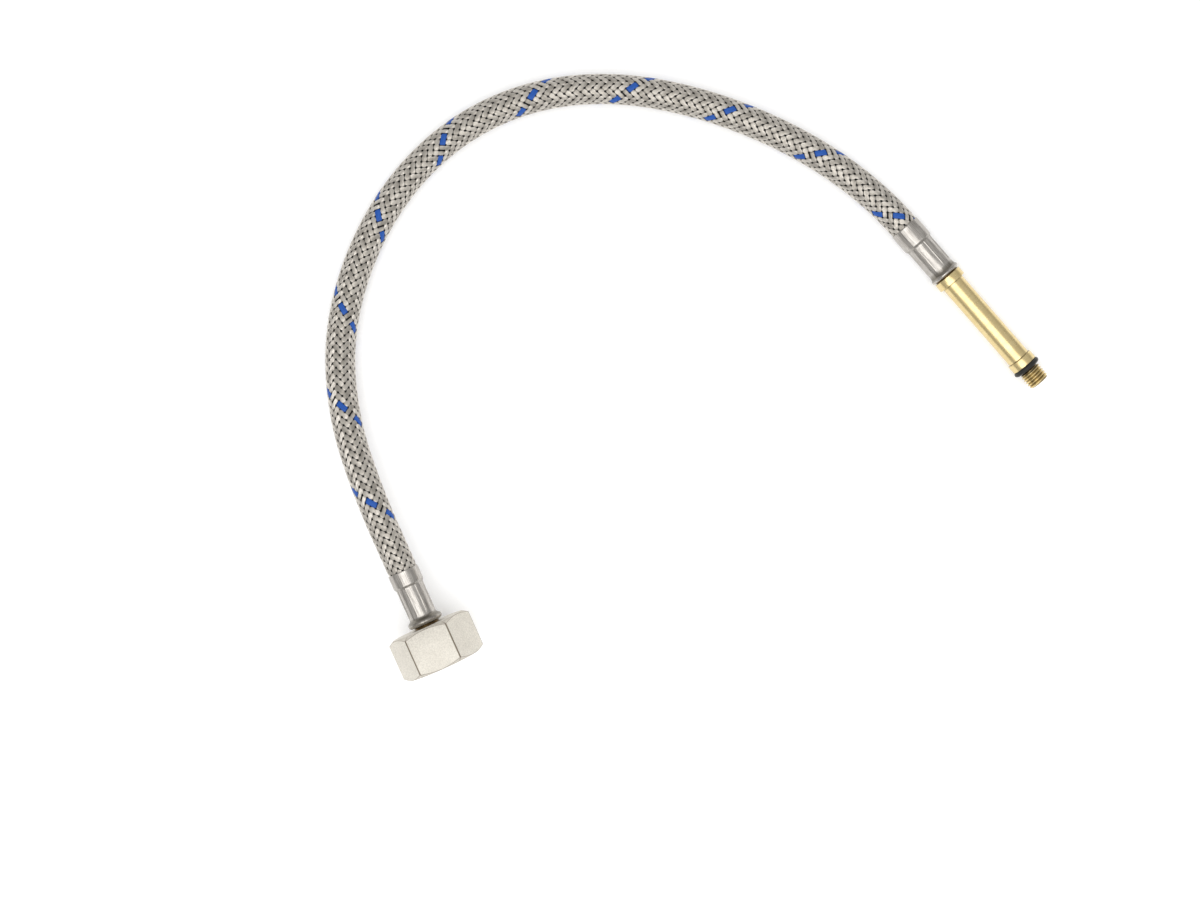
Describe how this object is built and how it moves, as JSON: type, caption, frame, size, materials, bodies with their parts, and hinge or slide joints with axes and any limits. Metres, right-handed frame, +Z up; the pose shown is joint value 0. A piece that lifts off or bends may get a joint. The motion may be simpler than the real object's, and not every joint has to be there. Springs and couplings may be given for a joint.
{
  "type": "braided supply line",
  "caption": "Flexible braided water supply hose, curled on a table, with a loose hexagonal union nut at one end and a long threaded brass stem with a seal ring at the other.",
  "frame": {"origin": "centre of the union nut's open face, on the thread's axis", "axes": "+Y along the nut's axis into the hose, +Z up from the table the line lies on, +X to the side the hose curls towards"},
  "size_m": [0.2557, 0.1799, 0.027],
  "materials": {
    "nickel": "nickel-plated brass, matt bead-blasted",
    "brass": "polished, turned",
    "ferrule_steel": "satin stainless steel, crimped",
    "braid_wire": "bright drawn stainless wire, braided",
    "tape_blue": "satin blue marker thread laid into the braid",
    "liner_rubber": "smooth extruded hose liner",
    "seal_rubber": "moulded seal"
  },
  "bodies": {
    "nut_end": {"flanged_insert": "brass", "nut_ferrule": "ferrule_steel", "braid_1": "braid_wire", "liner_1": "liner_rubber"},
    "washer": {"sealing_washer": "seal_rubber"},
    "nut": {"union_nut": "nickel"},
    "hose_2": {"braid_2": "braid_wire", "liner_2": "liner_rubber"},
    "hose_3": {"braid_3": "braid_wire", "liner_3": "liner_rubber"},
    "hose_4": {"braid_4": "braid_wire", "liner_4": "liner_rubber"},
    "hose_5": {"braid_5": "braid_wire", "liner_5": "liner_rubber"},
    "hose_6": {"braid_6": "braid_wire", "liner_6": "liner_rubber"},
    "hose_7": {"braid_7": "braid_wire", "liner_7": "liner_rubber"},
    "hose_8": {"braid_8": "braid_wire", "liner_8": "liner_rubber"},
    "hose_9": {"braid_9": "braid_wire", "liner_9": "liner_rubber"},
    "hose_10": {"braid_10": "braid_wire", "liner_10": "liner_rubber"},
    "hose_11": {"braid_11": "braid_wire", "liner_11": "liner_rubber"},
    "hose_12": {"braid_12": "braid_wire", "liner_12": "liner_rubber"},
    "stem_end": {"stem": "brass", "stem_o_ring": "seal_rubber", "stem_ferrule": "ferrule_steel", "braid_13": "braid_wire", "liner_13": "liner_rubber"}
  },
  "joints": [
    {"name": "nut_play", "type": "slide", "parent": "nut_end", "child": "washer", "axis": [0, 1, 0], "range_m": [0, 0.0008]},
    {"name": "nut_spin", "type": "hinge", "parent": "washer", "child": "nut", "pos_m": [0, 0, 0], "axis": [0, 1, 0], "continuous": true},
    {"name": "bend_1", "type": "hinge", "parent": "nut_end", "child": "hose_2", "pos_m": [0, 0.0517, 0], "axis": [0, 0, -1], "range_deg": [-17, 10], "stiffness_Nm_per_rad": 0.08},
    {"name": "bend_2", "type": "hinge", "parent": "hose_2", "child": "hose_3", "pos_m": [0.00128, 0.08108, -0.00188], "axis": [0, 0, -1], "range_deg": [-17, 10], "stiffness_Nm_per_rad": 0.08},
    {"name": "bend_3", "type": "hinge", "parent": "hose_3", "child": "hose_4", "pos_m": [0.00747, 0.1096, -0.00565], "axis": [0, 0, -1], "range_deg": [-17, 10], "stiffness_Nm_per_rad": 0.08},
    {"name": "bend_4", "type": "hinge", "parent": "hose_4", "child": "hose_5", "pos_m": [0.02168, 0.1352, -0.00754], "axis": [0, 0, -1], "range_deg": [-17, 10], "stiffness_Nm_per_rad": 0.08},
    {"name": "bend_5", "type": "hinge", "parent": "hose_5", "child": "hose_6", "pos_m": [0.04284, 0.15564, -0.00754], "axis": [0, 0, -1], "range_deg": [-17, 10], "stiffness_Nm_per_rad": 0.08},
    {"name": "bend_6", "type": "hinge", "parent": "hose_6", "child": "hose_7", "pos_m": [0.0688, 0.16944, -0.00754], "axis": [0, 0, -1], "range_deg": [-17, 10], "stiffness_Nm_per_rad": 0.08},
    {"name": "lift_7", "type": "hinge", "parent": "hose_7", "child": "hose_8", "pos_m": [0.09773, 0.17441, -0.00754], "axis": [0.01, -0.9999, 0.01], "range_deg": [0, 25], "stiffness_Nm_per_rad": 0.08},
    {"name": "bend_8", "type": "hinge", "parent": "hose_8", "child": "hose_9", "pos_m": [0.12669, 0.16956, -0.00754], "axis": [0.01, 0, -1], "range_deg": [-17, 10], "stiffness_Nm_per_rad": 0.08},
    {"name": "bend_9", "type": "hinge", "parent": "hose_9", "child": "hose_10", "pos_m": [0.15295, 0.15632, -0.00754], "axis": [0.01, 0, -1], "range_deg": [-17, 10], "stiffness_Nm_per_rad": 0.08},
    {"name": "bend_10", "type": "hinge", "parent": "hose_10", "child": "hose_11", "pos_m": [0.17569, 0.13758, -0.00754], "axis": [0.01, 0, -1], "range_deg": [-17, 10], "stiffness_Nm_per_rad": 0.08},
    {"name": "bend_11", "type": "hinge", "parent": "hose_11", "child": "hose_12", "pos_m": [0.19492, 0.11526, -0.00754], "axis": [0.01, 0, -1], "range_deg": [-17, 10], "stiffness_Nm_per_rad": 0.08},
    {"name": "lift_12", "type": "hinge", "parent": "hose_12", "child": "stem_end", "pos_m": [0.20965, 0.08976, -0.00754], "axis": [-0.9135, -0.4067, 0], "range_deg": [0, 25], "stiffness_Nm_per_rad": 0.08}
  ]
}
